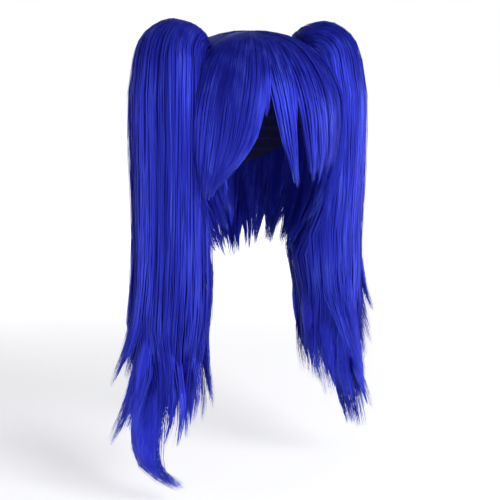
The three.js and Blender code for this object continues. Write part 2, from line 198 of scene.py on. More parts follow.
# %% [markdown]
# ## The fibre
# Straight synthetic fibre is smooth and glossy, and each strand catches the light on its own. That light and
# shade are painted into the base colour, by a ramp from a painted shadow through the fibre's blues to painted
# lit and pale highlights. Every strand carries a number of its own, and each of its points the share of the
# length passed. Noise over the two gives each strand a painted shade that changes slowly on its way, and
# noise over the place paints shade and highlight over whole locks. The cores carry a number that grows across
# them, so the same noise draws fine streaks of painted shade on them. A hair shader would need real curves,
# which the export drops, so the sheen comes from a Principled shader that is partly metallic, with a pale
# blue tint, and a little light spreads under the surface.


# %% Fibre material
def linear(red, green, blue):
    """A display colour from 0 to 255 as the linear colour that a shader takes."""
    shares = [v / 255 for v in (red, green, blue)]
    return (*(s / 12.92 if s <= 0.04045 else ((s + 0.055) / 1.055) ** 2.4 for s in shares), 1)


def new_material(name):
    material = bpy.data.materials.new(name)
    material.use_nodes = True
    material.node_tree.nodes.clear()
    return material, Bench(material.node_tree)


def finish_material(bench, constants, inputs):
    """Ends a material in a Principled shader. Constants are the same all over, and inputs vary."""
    shader = bench.node("ShaderNodeBsdfPrincipled", None, {**constants, **inputs})
    bench.node("ShaderNodeOutputMaterial", None, {"Surface": shader})


def colour_ramp(bench, value, stops):
    """A colour for a value, through stops of place and colour."""
    ramp = bench.node("ShaderNodeValToRGB", None, {0: value})
    elements = ramp.socket.node.color_ramp.elements
    for place, colour in stops[1:-1]:
        elements.new(place).color = colour
    for element, (place, colour) in zip(elements, stops):
        element.position = place
        element.color = colour
    return ramp


# The shadow, lit and pale stops are painted light: painted shade and highlights in the base colour, with the
# fibre's own blues between them.
fibre_painted_shadow = linear(15, 15, 100)
fibre_deep = linear(22, 24, 138)
fibre_royal = linear(35, 41, 173)
fibre_painted_lit = linear(64, 80, 208)
fibre_painted_highlight = linear(120, 138, 238)
fibre_glint = linear(150, 175, 255)
fibre_stops = [
    (0.04, fibre_painted_shadow),
    (0.3, fibre_deep),
    (0.54, fibre_royal),
    (0.82, fibre_painted_lit),
    (1.0, fibre_painted_highlight),
]
fibre_constants = {
    "Specular IOR Level": 0.25,
    "Metallic": 0.3,
    "Specular Tint": fibre_glint,
    "Subsurface Weight": 0.35,
    "Subsurface Radius": (0.25, 0.35, 1.0),
    "Subsurface Scale": 0.003,
}
fibre_roughness = 0.38
fibre_unevenness = 0.16
shade_changes = 9
lock_patches = (70, 70, 12)
streak_share = 0.5


def fibre_painted_shade(bench):
    """A streak that follows each strand, and the painted shade from 0 to 1 that it gives with the lock's
    patch.
    """
    strand = bench.node("ShaderNodeAttribute", {"attribute_name": "strand"})["Fac"]
    along = bench.node("ShaderNodeAttribute", {"attribute_name": "along"})["Fac"]
    flow = bench.node("ShaderNodeCombineXYZ", None, {"X": strand, "Y": along * shade_changes})
    streak = bench.node(
        "ShaderNodeTexNoise", {"noise_dimensions": "2D"}, {"Vector": flow, "Scale": 1.0, "Detail": 2.0}
    )
    place = bench.node("ShaderNodeTexCoord")["Object"]
    drawn = bench.node("ShaderNodeVectorMath", {"operation": "MULTIPLY"}, {0: place, 1: lock_patches})
    patch = bench.node("ShaderNodeTexNoise", None, {"Vector": drawn, "Scale": 1.0, "Detail": 1.0})
    return streak, streak * streak_share + patch * (1 - streak_share)


def fibre_material():
    material, bench = new_material("royal_blue_fibre")
    streak, shade = fibre_painted_shade(bench)
    # The base colour carries painted shade and highlights from strand to strand and from lock to lock.
    colour = colour_ramp(bench, shade, fibre_stops)
    roughness = fibre_roughness + streak * fibre_unevenness
    finish_material(bench, fibre_constants, {"Base Color": colour, "Roughness": roughness})
    return material


fibre = fibre_material()
print("made", fibre.name)

# %% [markdown]
# ## The net cap and the clips
# Under the hair is a stretch net cap, with wefts of fibre sewn on in level rows. Net and wefts are too fine
# to model thread by thread and are seen only in the split of the fringe, so they are drawn on the cap's
# wall: angle and height give the net's diamonds, and height alone the rows of stitching. The clips are dark
# moulded plastic, satin and slightly uneven, which a fine noise in colour, roughness and bump gives.


# %% Net and clip materials
net_cells_round = 120
net_cells_per_metre = 260
wefts_per_metre = 75
net_thread = linear(34, 36, 96)
# Painted shade for the holes between the net's threads.
net_painted_shade = linear(9, 9, 34)
clip_dark = linear(16, 16, 60)
clip_light = linear(30, 32, 96)


def wave(bench, value):
    """A smooth wave from 0 to 1 that repeats every 2 pi."""
    return bench.node("ShaderNodeMath", {"operation": "SINE"}, {0: value}) * 0.5 + 0.5


def net_material():
    material, bench = new_material("stretch_net")
    place = bench.node("ShaderNodeTexCoord")["Object"]
    parts = bench.node("ShaderNodeSeparateXYZ", None, {"Vector": place})
    turn = bench.node("ShaderNodeMath", {"operation": "ARCTAN2"}, {0: parts["Y"], 1: parts["X"]})
    rise = parts["Z"] * net_cells_per_metre * 2 * np.pi
    cells = turn * net_cells_round
    slants = {0: wave(bench, cells + rise), 1: wave(bench, cells - rise)}
    threads = bench.node("ShaderNodeMath", {"operation": "MAXIMUM"}, slants)
    weft = wave(bench, parts["Z"] * wefts_per_metre * 2 * np.pi) ** 6
    relief = bench.node("ShaderNodeMath", {"operation": "MAXIMUM"}, {0: threads**2, 1: weft})
    # The ramp paints the holes between the threads in dark painted shade; the threads and weft rows keep the
    # net's own colour.
    colour = colour_ramp(bench, relief, [(0.25, net_painted_shade), (0.9, net_thread)])
    bump = bench.node("ShaderNodeBump", None, {"Strength": 0.5, "Distance": 0.0004, "Height": relief})
    finish_material(
        bench,
        {"Specular IOR Level": 0.3},
        {"Base Color": colour, "Roughness": 0.9 - relief * 0.2, "Normal": bump},
    )
    return material


def clip_material():
    material, bench = new_material("clip_plastic")
    place = bench.node("ShaderNodeTexCoord")["Object"]
    grain = bench.node("ShaderNodeTexNoise", None, {"Vector": place, "Scale": 260.0, "Detail": 3.0})
    colour = colour_ramp(bench, grain, [(0.3, clip_dark), (0.75, clip_light)])
    bump = bench.node("ShaderNodeBump", None, {"Strength": 0.2, "Distance": 0.0002, "Height": grain})
    finish_material(bench, {}, {"Base Color": colour, "Roughness": 0.32 + grain * 0.2, "Normal": bump})
    return material


def paint_node(name, material):
    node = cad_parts[name]
    node.data.materials.clear()
    node.data.materials.append(material)
    print("painted", name, "with", material.name)


paint_node("wig_cap", net_material())
clip_finish = clip_material()
for clip_name in ("clip_left", "clip_right"):
    paint_node(clip_name, clip_finish)

# %% [markdown]
# ## The form of the head
# All the hair on the head lies on skins: smooth forms at some depth over the head. A skin is a rounded dome
# above the head's widest level and a skirt that draws in below it. A place on it is a turn from the front
# towards the wearer's left, and a fall, which is 0 at the top, 1 at the widest level and more on the skirt.
# Strands could also be projected on the solids' faces. A formula gives the same place at any depth and has
# no facets, and it is the one that the solids were made from.

# %% Skins
head_half_width = 0.076
head_front = 0.092
head_back = 0.098
head_dome = 0.100
plan_power = 2.2
dome_power = 2.35
skirt_drop = 0.170
chin_taper = 0.28
ear_taper = 0.6
nape_taper = 0.45


def form(top, side, front, back):
    """How far a skin stands over the head, in metres."""
    return np.array([top, side, front, back])


evenly = form(1, 1, 1, 1)
on_cap = evenly * 0.0021
crown_form = form(0.012, 0.025, 0.006, 0.020)
on_crown = crown_form + 0.0005


def outline_reach(skin, turn):
    """How far the skin reaches at its widest level, at a turn in degrees."""
    s, c = np.sin(np.radians(turn)), np.cos(np.radians(turn))
    length = np.where(c > 0, head_front + skin[..., 2], head_back + skin[..., 3])
    across = np.abs(s) / (head_half_width + skin[..., 1])
    return (across**plan_power + (np.abs(c) / length) ** plan_power) ** (-1 / plan_power)


def skin_point(skin, turn, fall):
    """A place on a skin, in metres."""
    s, c = np.sin(np.radians(turn)), np.cos(np.radians(turn))
    quarter = np.minimum(fall, 1) * np.pi / 2
    below = np.maximum(fall - 1, 0)
    taper = ear_taper * s * s + np.where(c > 0, chin_taper, nape_taper) * c * c
    radius = outline_reach(skin, turn) * np.sin(quarter) ** (2 / dome_power) * (1 - taper * below**2)
    height = (head_dome + skin[..., 0]) * np.maximum(np.cos(quarter), 0) ** (2 / dome_power) - head_dome
    return np.stack(np.broadcast_arrays(radius * s, -radius * c, height - below * skirt_drop), axis=-1)


def fall_at(skin, drop):
    """The fall at a drop below the top of the head."""
    share = np.clip((head_dome - drop) / (head_dome + skin[..., 0]), 0, 1)
    dome_fall = np.arccos(share ** (dome_power / 2)) / (np.pi / 2)
    return np.where(drop >= head_dome, 1 + (drop - head_dome) / skirt_drop, dome_fall)


def dome_height(skin, x, y):
    """The height of a skin's dome over a place in plan."""
    share = np.hypot(x, y) / outline_reach(skin, np.degrees(np.arctan2(x, -y)))
    quarter = np.arcsin(np.clip(share, 0, 1) ** (dome_power / 2))
    return (head_dome + skin[..., 0]) * np.cos(quarter) ** (2 / dome_power) - head_dome


print("crown reaches", skin_point(crown_form, np.array([0, 90, 180]), 1.0).round(3).tolist())

# %% [markdown]
# ## Strands from guides
# Thousands of strands can't be placed one by one. Each lock gets a few guides instead, which are lines from
# root to tip that know how wide and how deep the hair around them is. A geometry tree copies every guide
# many times, slides each copy sideways by its own random share, lets it wander a little and cuts its end at
# a random place. Flat cards with a painted alpha are lighter, but they show their edges from the side.

# %% The tree's inputs
tree_inputs = {
    "Guides": "NodeSocketGeometry",
    "Core": "NodeSocketObject",
    "Strand width": "NodeSocketFloat",
    "Waves per metre": "NodeSocketFloat",
    "Crossing": "NodeSocketFloat",
    "Ragged ends": "NodeSocketFloat",
    "Lean": "NodeSocketFloat",
    "Twists": "NodeSocketFloat",
    "Seed": "NodeSocketInt",
    "Finish": "NodeSocketMaterial",
}


class StrandBench(Bench):
    """A bench for the tree of strands, with its inputs and two kinds of number that it uses often."""

    def __init__(self, tree):
        super().__init__(tree)
        self.given = self.node("NodeGroupInput")

    def told(self, name, kind="FLOAT"):
        """What the guides say under that name."""
        return self.node("GeometryNodeInputNamedAttribute", {"data_type": kind}, {"Name": name})

    def chance(self, low, high, offset):
        """A number of its own for each strand."""
        seed = self.node("ShaderNodeMath", {"operation": "ADD"}, {0: self.given["Seed"], 1: offset})
        value = self.node("FunctionNodeRandomValue", None, {"Min": low, "Max": high, "Seed": seed})
        return self.node("GeometryNodeFieldOnDomain", {"domain": "CURVE"}, {"Value": value})


print(len(tree_inputs), "inputs of the tree")

# %% Copies of the guides, laid in the lock
number_range = 900.0


def laid_copies(bench, way):
    """Copies of the guides, cut at their ends and moved to their places in the lock."""
    given = bench.given
    curves = bench.node("GeometryNodeMeshToCurve", None, {"Mesh": given["Guides"]})
    copies = bench.node(
        "GeometryNodeDuplicateElements",
        {"domain": "SPLINE"},
        {"Geometry": curves, "Amount": bench.told("count", "INT")},
    )
    end = 1 - bench.chance(0.0, 1.0, 1) ** 2 * given["Ragged ends"]
    cut = bench.node("GeometryNodeTrimCurve", {"mode": "FACTOR"}, {"Curve": copies, "End": end})
    start_share = bench.chance(-1.0, 1.0, 2)
    sideways = start_share + (bench.chance(-1.0, 1.0, 3) - start_share) * way * given["Crossing"]
    inwards = bench.chance(-1.0, 1.0, 4)
    place = bench.node("GeometryNodeInputPosition")
    own_time = bench.chance(0.0, 90.0, 5)
    wander = bench.node(
        "ShaderNodeTexNoise",
        {"noise_dimensions": "4D"},
        {"Vector": place, "W": own_time, "Scale": given["Waves per metre"], "Detail": 1.0},
    )["Color"]
    drift = bench.node("ShaderNodeVectorMath", {"operation": "SUBTRACT"}, {0: wander, 1: 0.5})
    offset = (
        bench.told("across", "FLOAT_VECTOR") * sideways
        + bench.told("depth", "FLOAT_VECTOR") * inwards
        + drift * (bench.told("loose") * 2)
    )
    return bench.node("GeometryNodeSetPosition", None, {"Geometry": cut, "Offset": offset})


def turned_copies(bench, laid):
    """The strands with their flat side outwards and a slow twist, and with their own number on them."""
    inward = bench.told("depth", "FLOAT_VECTOR") * -1
    faced = bench.node("GeometryNodeSetCurveNormal", {"mode": "FREE"}, {"Curve": laid, "Normal": inward})
    own = bench.chance(0.0, number_range, 6)
    place = bench.node(
        "ShaderNodeCombineXYZ", None, {"X": own, "Y": bench.told("along") * bench.given["Twists"]}
    )
    twist = bench.node("ShaderNodeTexNoise", {"noise_dimensions": "2D"}, {"Vector": place, "Scale": 1.0})
    tilt = (twist - 0.5) * bench.given["Lean"] * 2
    turned = bench.node("GeometryNodeSetCurveTilt", None, {"Curve": faced, "Tilt": tilt})
    return bench.node(
        "GeometryNodeStoreNamedAttribute",
        {"data_type": "FLOAT", "domain": "POINT"},
        {"Geometry": turned, "Name": "strand", "Value": own},
    )


print("strand numbers run to", number_range)

# %% [markdown]
# ## The body of a strand
# Real fibres are far too thin to show one by one, and what the eye sees is a small flat bunch of them. So
# the section is a flattened triangle, which is the cheapest closed shape, with its wide face outwards. It
# narrows to the tip. Shading is smooth along the strand and sharp across it, so that each strand keeps one
# glint. The core joins in, and everything takes one finish.

# %% Sweep the strands and close the tree
strand_flatness = 0.4
strand_halves = (0.34, 0.62)
tip_taper = 5
tip_least = 0.12


def swept_strands(bench, copies, way):
    """A thin three-sided mesh along each strand."""
    taper = bench.node(
        "ShaderNodeMath", {"operation": "MINIMUM"}, {0: (1 - way) * tip_taper + tip_least, 1: 1.0}
    )
    half = bench.given["Strand width"] * bench.chance(*strand_halves, 7) * taper
    circle = bench.node("GeometryNodeCurvePrimitiveCircle", None, {"Resolution": 3, "Radius": 1.0})
    flat = {"Geometry": circle, "Scale": (strand_flatness, 1, 1)}
    section = bench.node("GeometryNodeTransform", None, flat)
    return bench.node(
        "GeometryNodeCurveToMesh",
        None,
        {"Curve": copies, "Profile Curve": section, "Scale": half, "Fill Caps": True},
    )


def shaded_strands(bench, swept):
    """Sharp edges along the strands, where both ends of an edge lie apart along the strand."""
    ends = bench.node("GeometryNodeInputMeshEdgeVertices")
    along = bench.told("along")
    first, second = (
        bench.node("GeometryNodeFieldAtIndex", {"domain": "POINT"}, {"Index": ends[i], "Value": along})
        for i in ("Vertex Index 1", "Vertex Index 2")
    )
    apart = bench.node("ShaderNodeMath", {"operation": "ABSOLUTE"}, {0: first - second})
    lengthways = bench.node("FunctionNodeCompare", {"operation": "GREATER_THAN"}, {"A": apart, "B": 1e-5})
    return bench.node(
        "GeometryNodeSetShadeSmooth",
        {"domain": "EDGE"},
        {"Geometry": swept, "Selection": lengthways, "Shade Smooth": False},
    )


def strand_tree():
    tree = bpy.data.node_groups.new("hair_strands", "GeometryNodeTree")
    for name, kind in tree_inputs.items():
        tree.interface.new_socket(name, in_out="INPUT", socket_type=kind)
    tree.interface.new_socket("Hair", in_out="OUTPUT", socket_type="NodeSocketGeometry")
    bench = StrandBench(tree)
    way = bench.node("GeometryNodeSplineParameter")["Factor"]
    copies = turned_copies(bench, laid_copies(bench, way))
    shown = shaded_strands(bench, swept_strands(bench, copies, way))
    for name in ("across", "depth", "loose", "count"):
        shown = bench.node("GeometryNodeRemoveAttribute", None, {"Geometry": shown, "Name": name})
    core = bench.node("GeometryNodeObjectInfo", None, {"Object": bench.given["Core"]})["Geometry"]
    hair = bench.node("GeometryNodeJoinGeometry", None, {"Geometry": [shown, core]})
    whole = bench.node("GeometryNodeRealizeInstances", None, {"Geometry": hair})
    finish = {"Geometry": whole, "Material": bench.given["Finish"]}
    done = bench.node("GeometryNodeSetMaterial", None, finish)
    bench.node("NodeGroupOutput", None, {"Hair": done})
    return tree


strands = strand_tree()
socket_of = {item.name: item.identifier for item in strands.interface.items_tree if item.in_out == "INPUT"}
print("tree inputs:", ", ".join(socket_of))

# %% [markdown]
# ## Guides and cores
# On the real wig a lock is full of fibre all the way through. Strands on its surface alone would let
# daylight in, and filling it with strands would take millions of them. So each piece is built in two parts:
# guides, which the tree turns into strands, and a closed core a little smaller than the lock, whose streaks
# look like more strands between the real ones. Both are plain meshes with attributes on their points.

# %% Small helpers
chance_of = np.random.default_rng(20)


def unit(vectors):
    """The vectors at length 1."""
    return vectors / np.maximum(np.linalg.norm(vectors, axis=-1, keepdims=True), 1e-9)


def eased(table, at):
    """The value at a place of a table of rows (place, value), eased between its rows."""
    places, values = np.array(table, float).T
    numbers = np.arange(len(places))
    before = np.maximum(numbers - 1, 0)
    after = np.minimum(numbers + 1, len(places) - 1)
    slopes = (values[after] - values[before]) / (places[after] - places[before])
    at = np.clip(at, places[0], places[-1])
    i = np.clip(np.searchsorted(places, at, side="right") - 1, 0, len(places) - 2)
    span = places[i + 1] - places[i]
    t = (at - places[i]) / span
    first = (1 + 2 * t) * (1 - t) ** 2 * values[i] + t * (1 - t) ** 2 * span * slopes[i]
    return first + t * t * (3 - 2 * t) * values[i + 1] - t * t * (1 - t) * span * slopes[i + 1]


def smooth_step(t):
    """A share from 0 to 1 with soft ends."""
    t = np.clip(t, 0, 1)
    return t * t * (3 - 2 * t)


strand_lean = 0.13


def strand_sizes(width, waves, crossing, ragged, twists, seed):
    """The tree's inputs for one piece."""
    return {
        "Strand width": width,
        "Waves per metre": waves,
        "Crossing": crossing,
        "Ragged ends": ragged,
        "Lean": strand_lean,
        "Twists": twists,
        "Seed": seed,
    }


print("a strand leans up to", strand_lean, "radians")


# %% Collect guides and cores
class Hair:
    """The guides and the core of one piece."""

    def __init__(self):
        self.guides = []
        self.core = []

    def guide(self, points, across, depth, loose, count):
        """A line of points, with the half width and half depth of the hair round it as vectors."""
        loose = np.broadcast_to(loose, len(points))
        along = np.linspace(0, 1, len(points))
        self.guides.append((points, across, depth, loose, along, np.full(len(points), count)))

    def loft(self, rings, strand, along):
        """A closed core through rings of points. Strand and along are the ring points' attributes."""
        rows, columns = rings.shape[:2]
        points = rings.reshape(-1, 3)
        sides = []
        for i in range(rows - 1):
            for j in range(columns):
                k = (j + 1) % columns
                here, next_row = i * columns, (i + 1) * columns
                sides.append((here + j, here + k, next_row + k, next_row + j))
        ends = [tuple(range(columns))[::-1], tuple(range((rows - 1) * columns, rows * columns))]
        faces = sides + ends
        a, b, c = (points[[side[n] for side in sides]] for n in (0, 1, 2))
        if np.einsum("ij,ij->i", a - points.mean(0), np.cross(b - a, c - a)).sum() < 0:
            faces = [face[::-1] for face in faces]
        shape = (rows, columns)
        self.core.append((points, faces, np.broadcast_to(strand, shape), np.broadcast_to(along, shape)))

    def guide_mesh(self, name):
        """All guides as one mesh of edges."""
        columns = [np.concatenate(column) for column in zip(*self.guides)]
        edges, start = [], 0
        for guide in self.guides:
            edges += [(start + i, start + i + 1) for i in range(len(guide[0]) - 1)]
            start += len(guide[0])
        marks = dict(zip(("across", "depth", "loose", "along", "count"), columns[1:]))
        return marked_object(name + "_guides", columns[0], edges, [], marks)

    def core_mesh(self, name):
        """All cores as one smooth mesh."""
        starts = np.cumsum([0] + [len(part[0]) for part in self.core])
        faces = [tuple(v + s for v in face) for part, s in zip(self.core, starts) for face in part[1]]
        points = np.concatenate([part[0] for part in self.core])
        marks = {
            key: np.concatenate([part[n].ravel() for part in self.core])
            for key, n in (("strand", 2), ("along", 3))
        }
        core = marked_object(name + "_core", points, [], faces, marks)
        core.data.polygons.foreach_set("use_smooth", [True] * len(faces))
        return core


def marked_object(name, points, edges, faces, marks):
    """An object with attributes on its points: vectors, whole numbers for the count, and other numbers."""
    mesh = bpy.data.meshes.new(name)
    mesh.from_pydata(points.tolist(), edges, faces)
    for key, values in marks.items():
        vector = values.ndim > 1
        kind = "FLOAT_VECTOR" if vector else ("INT" if key == "count" else "FLOAT")
        field = mesh.attributes.new(key, kind, "POINT").data
        field.foreach_set("vector" if vector else "value", values.ravel())
    made = bpy.data.objects.new(name, mesh)
    scene.collection.objects.link(made)
    return made


print("a piece is made of", " and ".join(vars(Hair())))


# %% Grow a piece
def grow(hair, name, node, sizes):
    """Makes the piece and lets it stand for its CAD node."""
    guides = hair.guide_mesh(name)
    core = hair.core_mesh(name)
    modifier = guides.modifiers.new("strands", "NODES")
    modifier.node_group = strands
    for key, value in {"Core": core, "Finish": fibre, **sizes}.items():
        modifier[socket_of[key]] = value
    evaluated = guides.evaluated_get(bpy.context.evaluated_depsgraph_get())
    mesh = bpy.data.meshes.new_from_object(evaluated)
    mesh.name = name
    piece = bpy.data.objects.new(name, mesh)
    scene.collection.objects.link(piece)
    for spare in (guides, core):
        bpy.data.objects.remove(spare)
    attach(piece, "root")
    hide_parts(node)
    triangles = sum(len(p.vertices) - 2 for p in mesh.polygons)
    print(name, "stands for", node, "with", triangles, "triangles in", len(hair.guides), "guides")


whorl_reach = 0.55
look_ahead = 0.01


def skin_guide(hair, skin, turn, fall, half_turn, thick, loose, count, whorl=None):
    """A guide that lies on a skin. Turns are in degrees, and the whorl draws its start to one place."""
    sides = [skin_point(skin, turn + s * half_turn, fall) for s in (-1, 0, 1)]
    ahead = skin_point(skin, turn, fall + look_ahead)
    outwards = unit(np.cross(ahead - sides[1], sides[2] - sides[0]))
    middle = sides[1].copy()
    if whorl is not None:
        pull = np.clip(1 - fall / whorl_reach, 0, 1)[:, None] ** 2
        middle[:, :2] += pull * whorl
        domed = fall < whorl_reach
        middle[domed, 2] = dome_height(skin, middle[:, 0], middle[:, 1])[domed]
    flip = np.sign(np.einsum("ij,ij->i", outwards, middle + [0, 0, head_dome]))[:, None]
    hair.guide(middle, (sides[2] - sides[0]) / 2, outwards * flip * np.reshape(thick, (-1, 1)), loose, count)


print("the whorl draws guides down to a fall of", whorl_reach)

# %% [markdown]
# ## Crown hair
# Hair leaves the whorl at the top of the crown in all directions and lies close on the head down to the
# layer's edge. It could be a smooth shell with a combed bump, but the hem would then look cut from a sheet.
# Here guides every few degrees start at the whorl, spread over the dome and run on a little past the edge
# at the sides and behind, so that the layer fades into the hair that hangs below it.

# %% Make the crown hair
whorl = np.array([-0.008, -0.022])
crown_hem = [(0, 0.047), (50, 0.056), (72, 0.084), (95, 0.090), (130, 0.104), (180, 0.118)]
crown_guides = 64
whorl_gap = 0.004
crown_overlap = 0.03
crown_inset = 0.0015
cap_clearance = 0.0003
shell_columns = 120
shell_rows = 22
shell_start = 0.04
front_turn = 62
crown_counts = SimpleNamespace(front=18, beside=30, behind=40)
crown_lane = 0.62
crown_points = 15
crown_sway = 3
crown_thick = 0.0012
crown_loose = 0.002
core_tuck = SimpleNamespace(turn=105, within=32, far=0.006, near=0.001)
core_streaks = 2.3
ear_turn = SimpleNamespace(middle=90, within=28)


def away_from_front(turn):
    return np.abs((np.asarray(turn) + 180) % 360 - 180)


def crown_edge(turn):
    """How far below the top of the head the crown hair ends."""
    return eased(crown_hem, away_from_front(turn))


def core_of_crown(hair):
    """A closed shell between the cap and the strands, tucked in a little under the layer's edge."""
    turns = np.arange(shell_columns) * 360 / shell_columns - 180
    shares = np.linspace(shell_start, 1, shell_rows)[:, None]
    outer = crown_form - evenly * crown_inset
    inner = on_cap + evenly * cap_clearance
    beside = np.abs(np.abs(turns) - core_tuck.turn) < core_tuck.within
    tucked = crown_edge(turns) - np.where(beside, core_tuck.far, core_tuck.near)
    shell = [skin_point(skin, turns, shares * fall_at(skin, tucked)) for skin in (outer, inner)]
    rings = np.concatenate([shell[0], shell[1][::-1]])
    hair.loft(rings, turns * core_streaks, np.concatenate([shares, shares[::-1]]))


def make_crown():
    hair = Hair()
    core_of_crown(hair)
    for turn in np.arange(crown_guides) * 360 / crown_guides:
        away = away_from_front(turn)
        front = away < front_turn
        beside = abs(away - ear_turn.middle) < ear_turn.within
        count = crown_counts.beside if beside else crown_counts.behind
        if front:
            count = crown_counts.front
        fall_end = fall_at(crown_form, crown_edge(turn) + (0 if front else crown_overlap))
        t = np.linspace(0, 1, crown_points)
        fall = whorl_gap + (fall_end - whorl_gap) * t
        turns_down = turn + crown_sway * chance_of.normal() * t
        half_turn = 360 / crown_guides * crown_lane
        skin_guide(hair, crown_form, turns_down, fall, half_turn, crown_thick, crown_loose * t, count, whorl)
    sizes = strand_sizes(width=0.0014, waves=16.0, crossing=0.35, ragged=0.12, twists=10.0, seed=1)
    grow(hair, "crown_strands", "crown_hair", sizes)


make_crown()

# %% [markdown]
# ## Fringe
# The fringe falls from the whorl over the brow in overlapping locks, and parts over the right eye. Each
# lock keeps its direction for most of its length and swings at its end, thickens towards the brow and
# closes to a point. One sheet of hair would cross the split, so every lock is a row of its own in a table.
# Three guides share each lock, so that it stays rounded across, follows the curve of the head and ends in
# three wisps.

# %% Sizes of the fringe
fringe_drop = 0.178
fringe_depth = 0.0085
fringe_root_fall = 0.16
fringe_core_end = 0.88
lock_round = 0.62
lock_numbers_apart = 7
lock_columns = 7
wisp_apart = 0.42
wisp_places = (-0.67, 0, 0.67)
wisp_strands = 38
fringe_start_fall = 0.03
fringe_core = SimpleNamespace(rows=18, width=0.86, closing=0.75, top=0.6, sunk=0.001)
fringe_guide = SimpleNamespace(points=19, level=0.62, lane=0.4, least_lane=0.4, thick=0.3, least_thick=0.0006)
fringe_loose = SimpleNamespace(least=0.0005, more=0.002)
fringe_tips = SimpleNamespace(reach=1.005, shorter=0.07)
lock_streaks = 2.2
lock_width = [(0, 0.95), (0.45, 1), (0.75, 0.72), (1, 0.06)]
fringe_build = [(0, 0.16), (0.35, 0.55), (0.7, 1), (1, 0.16)]

# Rows of root turn, tip turn, half width, drop, depth and swing
fringe_locks = [
    (-55, -63, 7, 0.955, 0.75, 3),
    (-50, -61, 8, 0.994, 0.95, 3),
    (-42, -57, 9, 1, 0.8, 3.4),
    (-35, -54, 9, 0.972, 1.0, 3.8),
    (-27, -50, 8, 0.927, 0.85, 4.1),
    (-20.5, -47, 6.5, 0.888, 0.95, 4.3),
    (-16, -38, 3.5, 0.803, 0.75, 4.5),
    (-13, -15, 4, 0.449, 0.7, 2),
    (-8, 8, 6.5, 0.888, 0.9, 2.4),
    (1, 4, 5, 0.607, 0.7, 2),
    (9, 21, 6.5, 0.865, 0.95, 2.6),
    (19, 27, 8, 0.854, 0.8, 2.4),
    (29, 34, 9, 0.82, 1.0, 2),
    (39, 42, 10, 0.775, 0.85, 2),
    (48, 50, 8, 0.736, 0.95, 2),
]
print(len(fringe_locks), "locks in the fringe")


# %% Make the fringe
def lock(row):
    """A lock on the head: the turns of root and tip, half width in degrees, drop, depth and swing."""
    return SimpleNamespace(**dict(zip(("root", "tip", "spread", "drop", "depth", "swing"), row)))


def fringe_shape(row, fall, c):
    """Turn, lock share and build at a share c across the lock."""
    tip_fall = fall_at(on_crown, fringe_drop * row.drop)
    t = np.clip((fall - fringe_root_fall) / (tip_fall - fringe_root_fall), 0, 1)
    turn = row.root + (row.tip - row.root) * t**row.swing
    build = row.depth * eased(fringe_build, t) * (1 - lock_round * c * c)
    return turn, row.spread * eased(lock_width, t), build


def core_of_fringe(hair, row, tip_fall):
    """A rounded core in a lock, which ends before the wisps."""
    t = np.linspace(0, 1, fringe_core.rows)[:, None]
    fall = fringe_root_fall + (tip_fall * fringe_core_end - fringe_root_fall) * t
    across = np.linspace(-1, 1, lock_columns)
    turn, half, build = fringe_shape(row, fall, across)
    turn = turn + across * half * fringe_core.width * (1 - fringe_core.closing * t**3)
    top = skin_point(on_crown + evenly * (fringe_depth * build * fringe_core.top)[..., None], turn, fall)
    under = skin_point(on_crown - evenly * fringe_core.sunk + 0 * build[..., None], turn, fall)
    marks = row.root * lock_numbers_apart + np.concatenate([across, across[::-1]]) * half * lock_streaks
    hair.loft(np.concatenate([top, under[:, ::-1]], axis=1), marks, fall)


def make_fringe():
    hair = Hair()
    for row in map(lock, fringe_locks):
        tip_fall = fall_at(on_crown, fringe_drop * row.drop)
        core_of_fringe(hair, row, tip_fall)
        for c in wisp_places:
            tip = tip_fall * (fringe_tips.reach - fringe_tips.shorter * abs(c) * chance_of.random())
            fall = np.linspace(fringe_start_fall, tip, fringe_guide.points)
            turn, half, build = fringe_shape(row, fall, c)
            skin = on_crown + evenly * (fringe_depth * build * fringe_guide.level)[:, None]
            thick = fringe_guide.least_thick + fringe_depth * build * fringe_guide.thick
            t = np.linspace(0, 1, fringe_guide.points)
            loose = fringe_loose.least + fringe_loose.more * t**2
            apart = c * np.maximum(half, row.spread * wisp_apart)
            wide = half * fringe_guide.lane + fringe_guide.least_lane
            skin_guide(hair, skin, turn + apart, fall, wide, thick, loose, wisp_strands, whorl)
    sizes = strand_sizes(width=0.0011, waves=18.0, crossing=0.5, ragged=0.2, twists=10.0, seed=2)
    grow(hair, "fringe_strands", "fringe", sizes)


make_fringe()

# %% [markdown]
# ## Side locks and the hair round the nape
# Below the crown hair the wig is a short cut: two locks fall down each cheek and ten hang round the back.
# They start inside, against the cap, and are as thick as the room under the crown hair. They are made as
# the fringe is, with two layers of guides, because the inside of this hair is seen through the face
# opening. Every guide ends at a height of its own and the lock's end keeps some width, so the hem is ragged
# as cut hair is.

# %% Sizes of the lower hair
lower_root_share = 0.94
lower_reach = 1.004
lower_core = SimpleNamespace(rows=14, end=0.89, width=0.88, closing=0.4, top=0.86, under=0.1)
lower_guide = SimpleNamespace(points=15, lane=1.2, least_lane=0.15, apart=0.5, shorter=0.12)
lower_loose = SimpleNamespace(least=0.0006, more=0.0034)
side_hair_depth = 0.96
side_drop = 0.210
nape_drop = 0.262
lower_build = [(0, 1), (0.4, 0.86), (0.75, 0.6), (1, 0.18)]
lower_thick = 0.0016

# Rows of level in the lock and share of the strands
lower_layers = ((0.92, 0.7), (0.12, 0.3))
under_crown = crown_form - on_cap

